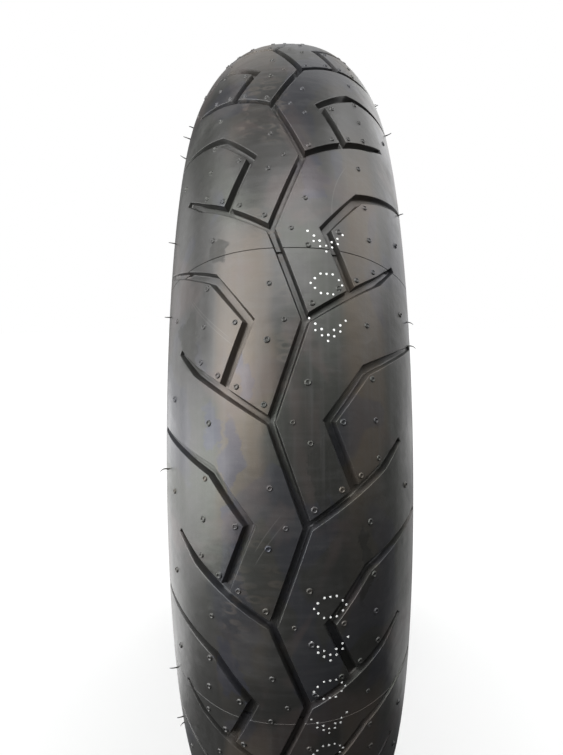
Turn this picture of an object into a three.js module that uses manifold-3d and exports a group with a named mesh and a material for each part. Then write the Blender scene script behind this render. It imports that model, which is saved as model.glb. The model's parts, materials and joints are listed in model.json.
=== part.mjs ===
// Motorcycle front tyre, size 120/70 ZR17, built up from the pieces of a tubeless radial tyre:
// grooved tread, spiral steel belt, two carcass plies, airtight liner, sidewalls and two beads.
// Millimetres. The wheel centre is the origin and the axle runs along +Y; +Z is up.
import * as THREE from 'three';
import { mergeVertices } from 'three/addons/utils/BufferGeometryUtils.js';
import Module from 'manifold-3d';

const wasm = await Module();
wasm.setup();

// Driving dimensions of the outer shape
const OUTER_RADIUS = 300;
const HALF_WIDTH = 60;
const CROWN_DROP = 43.83;
const CROWN_POWER = 2.4;
const CROWN_ROOT = 1 / 1.28;
const RIM_HALF_WIDTH = 44.45;
const TOE_HALF_WIDTH = 31.4;
const SEGMENTS = 28;

// Thickness of each laid-up layer, from the air side out, and the gap between neighbours
const LAYER_GAP = 0.3;
const LINER = 0.9;
const PLY = 0.9;
const BELT = 1.0;
const TREAD_BASE = 0.9;
const WRAP = 0.5;

// Depth of each layer's inner face, measured outwards from the air side
const INNER_PLY_DEPTH = LINER + LAYER_GAP;
const OUTER_PLY_DEPTH = INNER_PLY_DEPTH + PLY + LAYER_GAP;
const BELT_DEPTH = OUTER_PLY_DEPTH + PLY + LAYER_GAP;
const BASE_DEPTH = BELT_DEPTH + BELT + LAYER_GAP;
const CAP_DEPTH = BASE_DEPTH + TREAD_BASE + LAYER_GAP;

// Tread pattern: zigzag vertices alternate from side to side, one every half pitch.
// Short, medium and long half pitches are mixed so that the tyre doesn't hum on one note.
const HALF_PITCHES = 'SSMMMMMSS' + 'MLLLMSS'.repeat(4) + 'LLMSS';
const HALF_PITCH_DEGREES = { S: 8, M: 360 / 42, L: 64 / 7 };
const FIRST_VERTEX_DEGREES = -20.6;
const ZIGZAG_REACH = 7.75;
const ZIGZAG_HALF_WIDTH = 2.2;
// Paths from a vertex: half pitches round the tyre, then arc length out from the centre line
const BRANCH_PATH = [[0, ZIGZAG_REACH], [0.34, 28.2], [0.5, 46], [0.82, 58.8]];
const HOOK_PATH = [[0.34, 28.2], [0.99, 17], [1.5, 36], [1.74, 56], [1.98, 76]];
const SIDE_GROOVE_HALF_WIDTH = 2.4;
const SIDE_GROOVE_END_SCALE = 0.6;
const GROOVE_FLOOR_SCALE = 0.7;
const GROOVE_DEPTH = 4;
const GROOVE_EDGE_DEPTH = 2;
const GROOVE_TAPER_START = 45;
const GROOVE_TAPER_END = 76;
const CUT_CLEARANCE = 1.5;

const MATERIALS = {
  tread_rubber: new THREE.MeshStandardMaterial({ color: 0x3a3b3d, roughness: 0.62 }),
  under_tread_rubber: new THREE.MeshStandardMaterial({ color: 0x2a2a2c, roughness: 0.7 }),
  belt_cord: new THREE.MeshStandardMaterial({ color: 0x8c8173, roughness: 0.5, metalness: 0.4 }),
  carcass_cord: new THREE.MeshStandardMaterial({ color: 0x57483a, roughness: 0.8 }),
  liner_rubber: new THREE.MeshStandardMaterial({ color: 0x202123, roughness: 0.55 }),
  sidewall_rubber: new THREE.MeshStandardMaterial({ color: 0x2f3032, roughness: 0.6 }),
  bead_steel: new THREE.MeshStandardMaterial({ color: 0xa88f62, roughness: 0.35, metalness: 1 }),
  filler_rubber: new THREE.MeshStandardMaterial({ color: 0x242426, roughness: 0.6 }),
  wrap_fabric: new THREE.MeshStandardMaterial({ color: 0x6a6257, roughness: 0.85 }),
  chafer_fabric: new THREE.MeshStandardMaterial({ color: 0x38352f, roughness: 0.8 }),
  rim_strip_rubber: new THREE.MeshStandardMaterial({ color: 0x262728, roughness: 0.5 }),
};

const tyre = new THREE.Group();

// ---------- Outer surface ----------

// Radius of the crown at a distance across the tread
function crownRadius(across) {
  const ratio = Math.min(Math.abs(across) / HALF_WIDTH, 1);
  return OUTER_RADIUS - CROWN_DROP * (1 - (1 - ratio ** CROWN_POWER) ** CROWN_ROOT);
}

// Outward unit normal of the crown, as [across, radial]
function crownNormal(across) {
  const step = 0.01;
  const side = Math.min(Math.abs(across), HALF_WIDTH - 2 * step);
  const slope = (crownRadius(side - step) - crownRadius(side + step)) / (2 * step);
  const length = Math.hypot(slope, 1);
  return [Math.sign(across) * slope / length, 1 / length];
}

// Arc length from the centre line, tabulated so that it can be turned back into a distance across
const ARC_STEPS = 600;
const arcTable = [0];
for (let i = 1; i <= ARC_STEPS; i += 1) {
  const near = HALF_WIDTH * (i - 1) / ARC_STEPS;
  const far = HALF_WIDTH * i / ARC_STEPS;
  arcTable.push(arcTable[i - 1] + Math.hypot(far - near, crownRadius(far) - crownRadius(near)));
}

function acrossAtArc(arc) {
  const target = Math.min(Math.abs(arc), arcTable[ARC_STEPS]);
  let i = 1;
  while (arcTable[i] < target) i += 1;
  const part = (target - arcTable[i - 1]) / (arcTable[i] - arcTable[i - 1]);
  return Math.sign(arc) * HALF_WIDTH * (i - 1 + part) / ARC_STEPS;
}

// ---------- Casing line: the air-side surface, from the crown centre to the bead toe ----------

function insetFromCrown(across, depth) {
  const [normalAcross, normalRadial] = crownNormal(across);
  return [across - depth * normalAcross, crownRadius(across) - depth * normalRadial];
}

const CASING_HALF = [
  insetFromCrown(0, 11.8),
  insetFromCrown(27.5, 11.6),
  insetFromCrown(48.8, 11.4),
  [51.6, 257.5],
  [51.0, 246.5],
  [41.2, 238.0],
  [32.4, 229.2],
  [31.6, 219.6],
];
const LAST_STATION = CASING_HALF.length - 1;

// A casing station runs from 0 at the crown centre to LAST_STATION at the toe, negative to the left
function casingNode(station) {
  const [across, radius] = CASING_HALF[Math.abs(station)];
  return station < 0 ? [-across, radius] : [across, radius];
}

function outwardNormal(from, to) {
  const length = Math.hypot(to[0] - from[0], to[1] - from[1]);
  return [(from[1] - to[1]) / length, (to[0] - from[0]) / length];
}

// A casing node moved outwards by a depth, mitred so that every layer keeps its thickness
function nodeAtDepth(station, depth) {
  const here = casingNode(station);
  const before = station > -LAST_STATION ? outwardNormal(casingNode(station - 1), here) : null;
  const after = station < LAST_STATION ? outwardNormal(here, casingNode(station + 1)) : null;
  const first = before ?? after;
  const second = after ?? before;
  const scale = depth / (1 + first[0] * second[0] + first[1] * second[1]);
  return [here[0] + scale * (first[0] + second[0]), here[1] + scale * (first[1] + second[1])];
}

function layerPoint(station, depth) {
  const low = Math.floor(station);
  const part = station - low;
  const start = nodeAtDepth(low, depth);
  if (part === 0) return start;
  const end = nodeAtDepth(low + 1, depth);
  return [start[0] + part * (end[0] - start[0]), start[1] + part * (end[1] - start[1])];
}

// Points along one depth between two stations, with a point at every station passed
function layerLine(fromStation, toStation, depth) {
  const points = [layerPoint(fromStation, depth)];
  for (let k = Math.floor(fromStation) + 1; k < toStation; k += 1) points.push(layerPoint(k, depth));
  points.push(layerPoint(toStation, depth));
  return points;
}

// Profile of a layer that is symmetric about the centre line
function layerProfile(endStation, depth, thickness) {
  const inner = layerLine(-endStation, endStation, depth);
  const outer = layerLine(-endStation, endStation, depth + thickness);
  return inner.concat(outer.reverse());
}

// ---------- Solids ----------

// A ring turned about the axle from a closed profile of [across, radius] points
function ringGeometry(profile) {
  let doubledArea = 0;
  profile.forEach(([across, radius], i) => {
    const [nextAcross, nextRadius] = profile[(i + 1) % profile.length];
    doubledArea += across * nextRadius - nextAcross * radius;
  });
  const ordered = doubledArea < 0 ? profile : [...profile].reverse();
  const points = ordered.map(([across, radius]) => new THREE.Vector2(radius, across));
  points.push(points[0].clone());
  return new THREE.LatheGeometry(points, SEGMENTS);
}

function addPiece(name, geometry, slot) {
  const mesh = new THREE.Mesh(geometry, MATERIALS[slot]);
  mesh.name = name;
  tyre.add(mesh);
}

function addRing(name, profile, slot) {
  addPiece(name, ringGeometry(profile), slot);
}

// The same ring on both sides of the tyre
function addRingPair(name, profile, slot) {
  addRing(`${name}_right`, profile, slot);
  addRing(`${name}_left`, profile.map(([across, radius]) => [-across, radius]), slot);
}

function toManifold(geometry) {
  const bare = geometry.clone();
  bare.deleteAttribute('normal');
  bare.deleteAttribute('uv');
  const merged = mergeVertices(bare, 1e-3);
  const mesh = new wasm.Mesh({
    numProp: 3,
    vertProperties: new Float32Array(merged.attributes.position.array),
    triVerts: new Uint32Array(merged.index.array),
  });
  return new wasm.Manifold(mesh);
}

function toGeometry(manifold) {
  const mesh = manifold.getMesh();
  const geometry = new THREE.BufferGeometry();
  geometry.setAttribute('position', new THREE.BufferAttribute(mesh.vertProperties, 3));
  geometry.setIndex(new THREE.BufferAttribute(mesh.triVerts, 1));
  geometry.computeVertexNormals();
  return geometry;
}

// ---------- Tread grooves ----------

const vertexDegrees = [FIRST_VERTEX_DEGREES];
for (const letter of HALF_PITCHES) {
  vertexDegrees.push(vertexDegrees[vertexDegrees.length - 1] + HALF_PITCH_DEGREES[letter]);
}

// Angle round the tyre at a position counted in half pitches from the first vertex
function patternAngle(position) {
  const count = HALF_PITCHES.length;
  const turns = Math.floor(position / count);
  const local = position - turns * count;
  const i = Math.floor(local);
  const degrees = vertexDegrees[i] + (local - i) * (vertexDegrees[i + 1] - vertexDegrees[i]);
  return THREE.MathUtils.degToRad(degrees + 360 * turns);
}

// A point at an angle round the tyre, an arc length from the centre line and a height over the tread
function surfacePoint(angle, arc, height) {
  const across = acrossAtArc(arc);
  const [normalAcross, normalRadial] = crownNormal(across);
  const radius = crownRadius(across) + height * normalRadial;
  return [radius * Math.cos(angle), across + height * normalAcross, radius * Math.sin(angle)];
}

function grooveDepth(arc) {
  const part = (Math.abs(arc) - GROOVE_TAPER_START) / (GROOVE_TAPER_END - GROOVE_TAPER_START);
  return THREE.MathUtils.lerp(GROOVE_DEPTH, GROOVE_EDGE_DEPTH, THREE.MathUtils.clamp(part, 0, 1));
}

// The cutting tool for one groove: a strip with sloping walls along a path of [angle, arc] points
function grooveTool(path, halfWidths, isLoop) {
  const count = path.length;
  const steps = path.map(([angle, arc], i) => {
    const [nextAngle, nextArc] = path[(i + 1) % count];
    const wrap = isLoop && i === count - 1 ? 2 * Math.PI : 0;
    const round = (nextAngle + wrap - angle) * crownRadius(acrossAtArc((arc + nextArc) / 2));
    const length = Math.hypot(round, nextArc - arc);
    return [round / length, (nextArc - arc) / length];
  });
  const positions = [];
  path.forEach(([angle, arc], i) => {
    const before = i > 0 || isLoop ? steps[(i + count - 1) % count] : steps[0];
    const after = i < count - 1 || isLoop ? steps[i] : steps[count - 2];
    const mitre = 1 + before[0] * after[0] + before[1] * after[1];
    const sideways = [-(before[1] + after[1]) / mitre, (before[0] + after[0]) / mitre];
    const local = crownRadius(acrossAtArc(arc));
    const corner = (side, scale, height) => surfacePoint(
      angle + side * scale * halfWidths[i] * sideways[0] / local,
      arc + side * scale * halfWidths[i] * sideways[1],
      height,
    );
    positions.push(...corner(-1, 1, CUT_CLEARANCE), ...corner(1, 1, CUT_CLEARANCE));
    positions.push(...corner(1, GROOVE_FLOOR_SCALE, -grooveDepth(arc)));
    positions.push(...corner(-1, GROOVE_FLOOR_SCALE, -grooveDepth(arc)));
  });
  const faces = [];
  const quad = (a, b, c, d) => faces.push(a, c, b, a, d, c);
  const spans = isLoop ? count : count - 1;
  for (let i = 0; i < spans; i += 1) {
    const here = 4 * i;
    const next = 4 * ((i + 1) % count);
    for (let k = 0; k < 4; k += 1) {
      const turn = (k + 1) % 4;
      quad(here + k, next + k, next + turn, here + turn);
    }
  }
  if (!isLoop) {
    const last = 4 * (count - 1);
    quad(0, 1, 2, 3);
    quad(last + 3, last + 2, last + 1, last);
  }
  const geometry = new THREE.BufferGeometry();
  geometry.setAttribute('position', new THREE.Float32BufferAttribute(positions, 3));
  geometry.setIndex(faces);
  return toManifold(geometry);
}

// Even vertices of the zigzag lie on the left, odd ones on the right
function vertexSide(vertex) {
  return vertex % 2 === 0 ? -1 : 1;
}

function zigzagTool() {
  const path = [];
  for (let vertex = 0; vertex < HALF_PITCHES.length; vertex += 1) {
    path.push([patternAngle(vertex), vertexSide(vertex) * ZIGZAG_REACH]);
  }
  return grooveTool(path, path.map(() => ZIGZAG_HALF_WIDTH), true);
}

function sideGrooveTool(vertex, shape) {
  const path = shape.map(([ahead, arc]) => [patternAngle(vertex + ahead), vertexSide(vertex) * arc]);
  const halfWidths = shape.map(() => SIDE_GROOVE_HALF_WIDTH);
  halfWidths[shape.length - 1] *= SIDE_GROOVE_END_SCALE;
  return grooveTool(path, halfWidths, false);
}

// ---------- Tread ----------

const CROWN_STOPS = [0, 22, 42, 55, HALF_WIDTH];
const BELT_END_STATION = 2.5;
const CAP_EDGE_DEPTH = 4.4;
const CAP_EDGE_CORNER = [55.4, 255.7];

function treadCapProfile() {
  const outerRight = CROWN_STOPS.map((across) => [across, crownRadius(across)]);
  const outerLeft = outerRight.slice(1).reverse().map(([across, radius]) => [-across, radius]);
  const edgeRight = [CAP_EDGE_CORNER, layerPoint(3, CAP_EDGE_DEPTH)];
  const edgeLeft = [...edgeRight].reverse().map(([across, radius]) => [-across, radius]);
  const underside = layerLine(-BELT_END_STATION, BELT_END_STATION, CAP_DEPTH).reverse();
  return [...outerLeft, ...outerRight, ...edgeRight, ...underside, ...edgeLeft];
}

let treadCap = toManifold(ringGeometry(treadCapProfile()));
treadCap = treadCap.subtract(zigzagTool());
for (let vertex = 0; vertex < HALF_PITCHES.length; vertex += 1) {
  treadCap = treadCap.subtract(sideGrooveTool(vertex, BRANCH_PATH));
  treadCap = treadCap.subtract(sideGrooveTool(vertex, HOOK_PATH));
}
addPiece('tread_cap', toGeometry(treadCap), 'tread_rubber');
addRing('tread_base', layerProfile(BELT_END_STATION, BASE_DEPTH, TREAD_BASE), 'under_tread_rubber');
addRing('zero_degree_belt', layerProfile(BELT_END_STATION, BELT_DEPTH, BELT), 'belt_cord');

// Gum wedge that fills the step at the belt's edge
const WEDGE_START_STATION = 2.52;
const WEDGE_END_STATION = 2.95;
addRingPair('belt_edge_wedge', [
  layerPoint(WEDGE_START_STATION, BELT_DEPTH),
  layerPoint(WEDGE_START_STATION, BELT_DEPTH + 2.0),
  layerPoint(WEDGE_END_STATION, BELT_DEPTH + 0.6),
  layerPoint(WEDGE_END_STATION, BELT_DEPTH),
], 'under_tread_rubber');

// ---------- Carcass ----------

const OUTER_PLY_END_STATION = 5.8;
addRing('outer_carcass_ply', layerProfile(OUTER_PLY_END_STATION, OUTER_PLY_DEPTH, PLY), 'carcass_cord');

// The inner ply runs down inside the bead core, under it, and turns up outside the filler
const INNER_PLY_OUTER_FOOT = 6.88;
const INNER_PLY_INNER_FOOT = 6.99;
const TURN_UP_NEAR = [[40.8, 220.5], [40.8, 227.5], [44.4, 234.2], [47.2, 237.9]];
const TURN_UP_FAR = [[47.8, 237.2], [45.2, 233.8], [41.7, 227.2], [41.7, 219.6]];

function innerPlyProfile() {
  const mirrored = (points) => [...points].reverse().map(([across, radius]) => [-across, radius]);
  const face = layerLine(-INNER_PLY_OUTER_FOOT, INNER_PLY_OUTER_FOOT, INNER_PLY_DEPTH + PLY);
  const back = layerLine(-INNER_PLY_INNER_FOOT, INNER_PLY_INNER_FOOT, INNER_PLY_DEPTH);
  const rightTurnUp = [...TURN_UP_NEAR, ...TURN_UP_FAR];
  return [...face, ...rightTurnUp, ...back.reverse(), ...mirrored(rightTurnUp)];
}

addRing('inner_carcass_ply', innerPlyProfile(), 'carcass_cord');
addRing('inner_liner', layerProfile(LAST_STATION, 0, LINER), 'liner_rubber');

// ---------- Sidewalls ----------

addRingPair('sidewall', [
  [HALF_WIDTH, 255.85],
  [59.3, 249.5],
  [56.4, 243.0],
  [51.8, 237.2],
  [47.3, 233.25],
  [46.2, 233.85],
  [48.4, 237.0],
  [48.2, 239.3],
  layerPoint(4, BELT_DEPTH),
  [55.1, 255.3],
], 'sidewall_rubber');

// ---------- Beads ----------

const CORE_BOTTOM = 221.6;
const CORE_TOP = 226.2;
const CORE_OUTSIDE = 39.7;

addRingPair('bead_core', [
  [35.0, CORE_BOTTOM],
  [39.2, CORE_BOTTOM],
  [CORE_OUTSIDE, CORE_BOTTOM + 0.6],
  [CORE_OUTSIDE, CORE_TOP],
  [35.4, CORE_TOP],
], 'bead_steel');

const WRAP_OUTSIDE = CORE_OUTSIDE + LAYER_GAP + WRAP;
const WRAP_TOP = 227.0;
const WRAP_BOTTOM = CORE_BOTTOM - LAYER_GAP - WRAP;
addRingPair('bead_wrap', [
  [34.62, WRAP_TOP],
  [34.11, WRAP_BOTTOM],
  [WRAP_OUTSIDE, WRAP_BOTTOM],
  [WRAP_OUTSIDE, WRAP_TOP],
  [WRAP_OUTSIDE - WRAP, WRAP_TOP],
  [WRAP_OUTSIDE - WRAP, WRAP_BOTTOM + WRAP],
  [34.65, WRAP_BOTTOM + WRAP],
  [35.1, WRAP_TOP],
], 'wrap_fabric');

// Hard triangular filler that stands on the bead core between the two legs of the inner ply
addRingPair('bead_filler', [
  [35.7, CORE_TOP + LAYER_GAP],
  [CORE_OUTSIDE, CORE_TOP + LAYER_GAP],
  [44.0, 234.3],
  [43.3, 235.0],
  [35.9, 227.6],
], 'filler_rubber');

addRingPair('chafer', [
  [TOE_HALF_WIDTH, 217.5],
  [41.9, 218.3],
  [42.8, 219.2],
  [42.8, 227.0],
  [42.0, 227.0],
  [42.0, 219.7],
  [41.5, 219.2],
  [TOE_HALF_WIDTH + 0.2, 218.4],
], 'chafer_fabric');

// Hard strip with the flat face that seats against the rim's flange
addRingPair('rim_strip', [
  [43.1, 218.9],
  [RIM_HALF_WIDTH, 220.6],
  [RIM_HALF_WIDTH, 230.2],
  [43.9, 230.2],
  [43.1, 228.4],
], 'rim_strip_rubber');

export default tyre;
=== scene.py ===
"""Looks of a bare motorcycle front tyre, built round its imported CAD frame.
Lengths in the tyre's own formulas are millimetres; meshes are made in metres. The axle runs along +Y.
"""

import json
import math
import random

import bmesh
import bpy
import numpy as np
from mathutils import Matrix, Vector
from mathutils.geometry import delaunay_2d_cdt

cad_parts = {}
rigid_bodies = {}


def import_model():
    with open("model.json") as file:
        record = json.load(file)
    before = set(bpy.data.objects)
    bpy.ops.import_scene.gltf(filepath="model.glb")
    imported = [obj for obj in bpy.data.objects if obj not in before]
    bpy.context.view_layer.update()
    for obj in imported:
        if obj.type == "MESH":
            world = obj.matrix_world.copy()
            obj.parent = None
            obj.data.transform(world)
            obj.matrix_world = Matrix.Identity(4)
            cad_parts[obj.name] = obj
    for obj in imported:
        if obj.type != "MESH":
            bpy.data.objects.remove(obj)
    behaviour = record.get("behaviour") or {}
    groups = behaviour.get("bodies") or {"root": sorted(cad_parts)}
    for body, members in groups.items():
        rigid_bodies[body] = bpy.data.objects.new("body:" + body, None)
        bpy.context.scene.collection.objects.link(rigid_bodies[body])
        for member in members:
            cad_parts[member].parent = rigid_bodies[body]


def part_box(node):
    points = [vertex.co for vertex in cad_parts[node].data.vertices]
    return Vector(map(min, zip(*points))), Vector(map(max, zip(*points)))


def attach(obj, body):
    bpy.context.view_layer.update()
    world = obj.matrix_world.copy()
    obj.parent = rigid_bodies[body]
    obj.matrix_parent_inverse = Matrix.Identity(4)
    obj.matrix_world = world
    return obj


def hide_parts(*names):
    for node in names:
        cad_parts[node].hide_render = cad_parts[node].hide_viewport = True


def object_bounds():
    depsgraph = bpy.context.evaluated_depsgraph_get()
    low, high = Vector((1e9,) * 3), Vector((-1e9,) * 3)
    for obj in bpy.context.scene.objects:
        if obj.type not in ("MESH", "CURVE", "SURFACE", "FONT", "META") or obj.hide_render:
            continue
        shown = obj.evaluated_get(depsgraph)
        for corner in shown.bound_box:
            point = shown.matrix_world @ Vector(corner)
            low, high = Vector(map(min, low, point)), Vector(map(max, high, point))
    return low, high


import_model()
cad_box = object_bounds()

MM = 0.001
tread_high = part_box("tread_cap")[1]
OUTER_RADIUS = max(tread_high.x, tread_high.z) / MM
HALF_WIDTH = tread_high.y / MM

# Crown: drop below the outer radius at a distance across the tread
CROWN_DROP = 43.83
CROWN_POWER = 2.4
CROWN_ROOT = 1 / 1.28

# Tread pattern, in half pitches round the tyre and millimetres of arc from the centre line
HALF_PITCHES = "SSMMMMMSS" + "MLLLMSS" * 4 + "LLMSS"
HALF_PITCH_DEGREES = {"S": 8.0, "M": 360 / 42, "L": 64 / 7}
TILE_COUNT = len(HALF_PITCHES)
FIRST_VERTEX_DEGREES = -20.6
HALF_PITCH = 2 * math.pi * OUTER_RADIUS / TILE_COUNT
ZIGZAG_REACH = 7.75
ZIGZAG_HALF_WIDTH = 2.3
# Corners of the side grooves' centre lines: half pitches, arc, and half width of the groove there
BRANCH = ((0, ZIGZAG_REACH, 2.2), (0.554, 46.0, 2.6), (0.82, 59.0, 1.65))
HOOK = ((0.322, 29.8, 2.7), (1.01, 17.4, 2.7), (1.527, 36.0, 2.95), (1.955, 77.0, 1.6))
TIP_DEPTH_SHARE = 0.55
END_DEPTH_SHARE = 0.3
# Groove section: distance in from the groove's edge, and depth there
GROOVE_SECTION = ((0.0, 0.0), (0.16, 0.08), (0.34, 0.32), (0.66, 2.8), (0.95, 3.65), (1.45, 4.0))
EDGE_STEP = 4.5
LAND_STEP = 4.0
LAND_MARGIN = 1.7
SHOULDER_ARCS = np.array([70, 74, 77, 79])
STAGGER_REACH = 64
# Closer than this, points count as one, or as lying on the tile's edge
SNAP = 1e-7
ON_EDGE = 1e-9
LEVEL = 1e-12
ROUND_STEPS = 10

# Mould joints: the tile each lies in, its place in the tile, and its section across the line
JOINT_TILES = (0, 5, 10, 15, 21, 26, 31, 36)
JOINT_PLACE = 0.77
JOINT_SLOT_WIDTH = 1.1
JOINT_SLOT_DEPTH = 0.8
JOINT_LINE_HALF_WIDTH = 0.22
JOINT_LINE_DEPTH = 0.4
JOINT_SLOT_DRAFT = 0.15
CUT_MARGIN = 1e-5


# ---------------------------------------------------------------- outer surface

def crown_radius(across):
    ratio = np.clip(np.abs(across) / HALF_WIDTH, 0, 1)
    return OUTER_RADIUS - CROWN_DROP * (1 - (1 - ratio ** CROWN_POWER) ** CROWN_ROOT)


CROWN_SAMPLES = 1601
crown_across = HALF_WIDTH * np.sin(np.linspace(0, math.pi / 2, CROWN_SAMPLES))
crown_height = crown_radius(crown_across)
crown_arc = np.concatenate([[0], np.cumsum(np.hypot(np.diff(crown_across), np.diff(crown_height)))])
EDGE_ARC = float(crown_arc[-1])
crown_run = np.gradient(crown_across, crown_arc)
crown_fall = np.gradient(crown_height, crown_arc)


def crown_section(arc, height):
    """Distance across and radius of points at an arc from the centre line and a height over the tread."""
    side = np.sign(arc)
    reach = np.abs(arc)
    across = np.interp(reach, crown_arc, crown_across)
    radius = np.interp(reach, crown_arc, crown_height)
    out_across = -np.interp(reach, crown_arc, crown_fall)
    out_radial = np.interp(reach, crown_arc, crown_run)
    return side * (across + height * out_across), radius + height * out_radial


vertex_degrees = FIRST_VERTEX_DEGREES + np.concatenate(
    [[0], np.cumsum([HALF_PITCH_DEGREES[letter] for letter in HALF_PITCHES])])


def pattern_angle(position):
    """Angle round the tyre at a position counted in half pitches from the first zigzag vertex."""
    turns = np.floor(np.asarray(position, float) / TILE_COUNT)
    local = position - turns * TILE_COUNT
    return np.radians(np.interp(local, np.arange(TILE_COUNT + 1), vertex_degrees) + 360 * turns)


def wheel_points(angle, across, radius):
    """Points in metres from angle, distance across and radius."""
    return np.stack([radius * np.cos(angle), across, radius * np.sin(angle)], -1) * MM


def tread_points(position, arc, height):
    across, radius = crown_section(np.asarray(arc, float), np.asarray(height, float))
    return wheel_points(pattern_angle(position), across, radius)


# ---------------------------------------------------------------- mesh helpers

def new_object(name, vertices, faces, material, uv=None, smooth_degrees=35):
    """A mesh object from points and faces; uv gives one pair for each face corner, in face order."""
    mesh = bpy.data.meshes.new(name)
    mesh.from_pydata([tuple(v) for v in vertices], [], [tuple(f) for f in faces])
    if uv is not None:
        layer = mesh.uv_layers.new(name="wrap")
        layer.data.foreach_set("uv", np.asarray(uv, np.float32).ravel())
    mesh.materials.append(material)
    mesh.shade_smooth()
    mesh.set_sharp_from_angle(angle=math.radians(smooth_degrees))
    obj = bpy.data.objects.new(name, mesh)
    bpy.context.scene.collection.objects.link(obj)
    return obj


def merge_points(obj, distance=1e-7, smooth_degrees=35):
    bm = bmesh.new()
    bm.from_mesh(obj.data)
    bmesh.ops.remove_doubles(bm, verts=bm.verts, dist=distance)
    bmesh.ops.recalc_face_normals(bm, faces=bm.faces)
    bm.to_mesh(obj.data)
    bm.free()
    obj.data.shade_smooth()
    obj.data.set_sharp_from_angle(angle=math.radians(smooth_degrees))


# ---------------------------------------------------------------- casing layers

LAYER_GAP = 0.3
LINER = 0.9
PLY = 0.9
BELT = 1.0
TREAD_BASE = 0.9
INNER_PLY_DEPTH = LINER + LAYER_GAP
OUTER_PLY_DEPTH = INNER_PLY_DEPTH + PLY + LAYER_GAP
BELT_DEPTH = OUTER_PLY_DEPTH + PLY + LAYER_GAP
BASE_DEPTH = BELT_DEPTH + BELT + LAYER_GAP
CAP_DEPTH = BASE_DEPTH + TREAD_BASE + LAYER_GAP
CAP_EDGE_DEPTH = 4.4
CAP_FOOT = (55.4, 255.75)
BELT_END = 2.5
OUTER_PLY_END = 5.8

# Air side of the casing as (station, across, radius): inset from the crown, then down to the bead toe
CROWN_INSETS = ((0.0, 0.0), (0.3, 8.0), (0.6, 16.0), (0.9, 24.0), (1.2, 31.5), (1.5, 38.5),
                (1.8, 44.5), (2.0, 48.0))
CROWN_INSET_DEPTH = 11.6
SIDE_STATIONS = ((2.9, 51.7, 258.6), (3.0, 51.6, 257.5), (3.3, 51.4, 254.2), (3.7, 51.16, 249.8),
                 (4.0, 51.0, 246.5), (4.3, 48.1, 243.9), (4.7, 44.1, 240.5), (5.0, 41.2, 238.0),
                 (5.8, 34.2, 231.0), (6.0, 32.4, 229.2), (6.2, 32.24, 227.3), (7.0, 31.6, 219.6))
CORNER_CUTS = 3


def casing_curve():
    """Casing line rounded by cutting its corners, as (station, across, radius) rows."""
    rows = []
    for station, across in CROWN_INSETS:
        slope = (crown_radius(across + 0.5) - crown_radius(across - 0.5))
        length = math.hypot(slope, 1)
        rows.append((station, across + CROWN_INSET_DEPTH * slope / length,
                     crown_radius(across) - CROWN_INSET_DEPTH / length))
    rows = np.array(rows + list(SIDE_STATIONS))
    for _ in range(CORNER_CUTS):
        near = rows[:-1] * 0.75 + rows[1:] * 0.25
        far = rows[:-1] * 0.25 + rows[1:] * 0.75
        rows = np.concatenate([rows[:1], np.stack([near, far], 1).reshape(-1, 3), rows[-1:]])
    return rows


casing = casing_curve()
casing_steps = np.gradient(casing[:, 1:], axis=0)
casing_steps /= np.hypot(casing_steps[:, 0], casing_steps[:, 1])[:, None]
casing_normals = np.stack([-casing_steps[:, 1], casing_steps[:, 0]], -1)


def casing_line(start, end, depth, count):
    """Points (across, radius) at one depth outside the air side, between two stations."""
    points = []
    for station in np.linspace(start, end, count):
        place = abs(station)
        across, radius = (np.interp(place, casing[:, 0], casing[:, i]) for i in (1, 2))
        normal = [np.interp(place, casing[:, 0], casing_normals[:, i]) for i in (0, 1)]
        length = math.hypot(*normal)
        across += depth * normal[0] / length
        radius += depth * normal[1] / length
        points.append((math.copysign(across, station) if station else 0.0, radius))
    return points


# ---------------------------------------------------------------- tread pattern

def groove_edges(corners):
    """Right and left edge line of each straight stretch of a groove, as (arc, length round) pairs."""
    edges = []
    for start, end in zip(corners, corners[1:]):
        line = np.array([(arc, place * HALF_PITCH) for place, arc, _ in (start, end)])
        step = line[1] - line[0]
        offset = np.array([-step[1], step[0]]) / np.hypot(*step) * np.array([[start[2]], [end[2]]])
        edges.append((line - offset, line + offset))
    return edges


def crossing(line_a, line_b):
    (p, q), (r, s) = line_a, line_b
    u, v = q - p, s - r
    part = ((r - p)[0] * v[1] - (r - p)[1] * v[0]) / (u[0] * v[1] - u[1] * v[0])
    return p + part * u


def land_outline():
    """Edge of the land right of the zigzag over one pitch, as (arc, length round, depth share) rows.

    The groove lies to the left all the way: up the zigzag, out and back round the branch's tip,
    round the hook, and back to the zigzag.
    """
    zigzag = [(k, -ZIGZAG_REACH if k % 2 else ZIGZAG_REACH, ZIGZAG_HALF_WIDTH) for k in range(-1, 3)]
    zig_up, zig_back, zig_next = (right for right, _ in groove_edges(zigzag))
    (root_right, root_left), (tip_right, tip_left) = groove_edges(BRANCH)
    (leg_right, leg_left), (arm_right, arm_left), (reach_right, reach_left) = groove_edges(HOOK)
    route = (zig_up, root_right, tip_right, TIP_DEPTH_SHARE, tip_left, root_left, leg_right, arm_right,
             reach_right, END_DEPTH_SHARE, reach_left, arm_left, leg_left, root_left, zig_back, zig_next)
    rows = []
    for here, following in zip(route, route[1:]):
        if np.isscalar(following):
            rows.append((*here[1], following))
        elif np.isscalar(here):
            rows.append((*following[1], here))
        else:
            rows.append((*crossing(here, following), 1))
    return np.array(rows)


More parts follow.
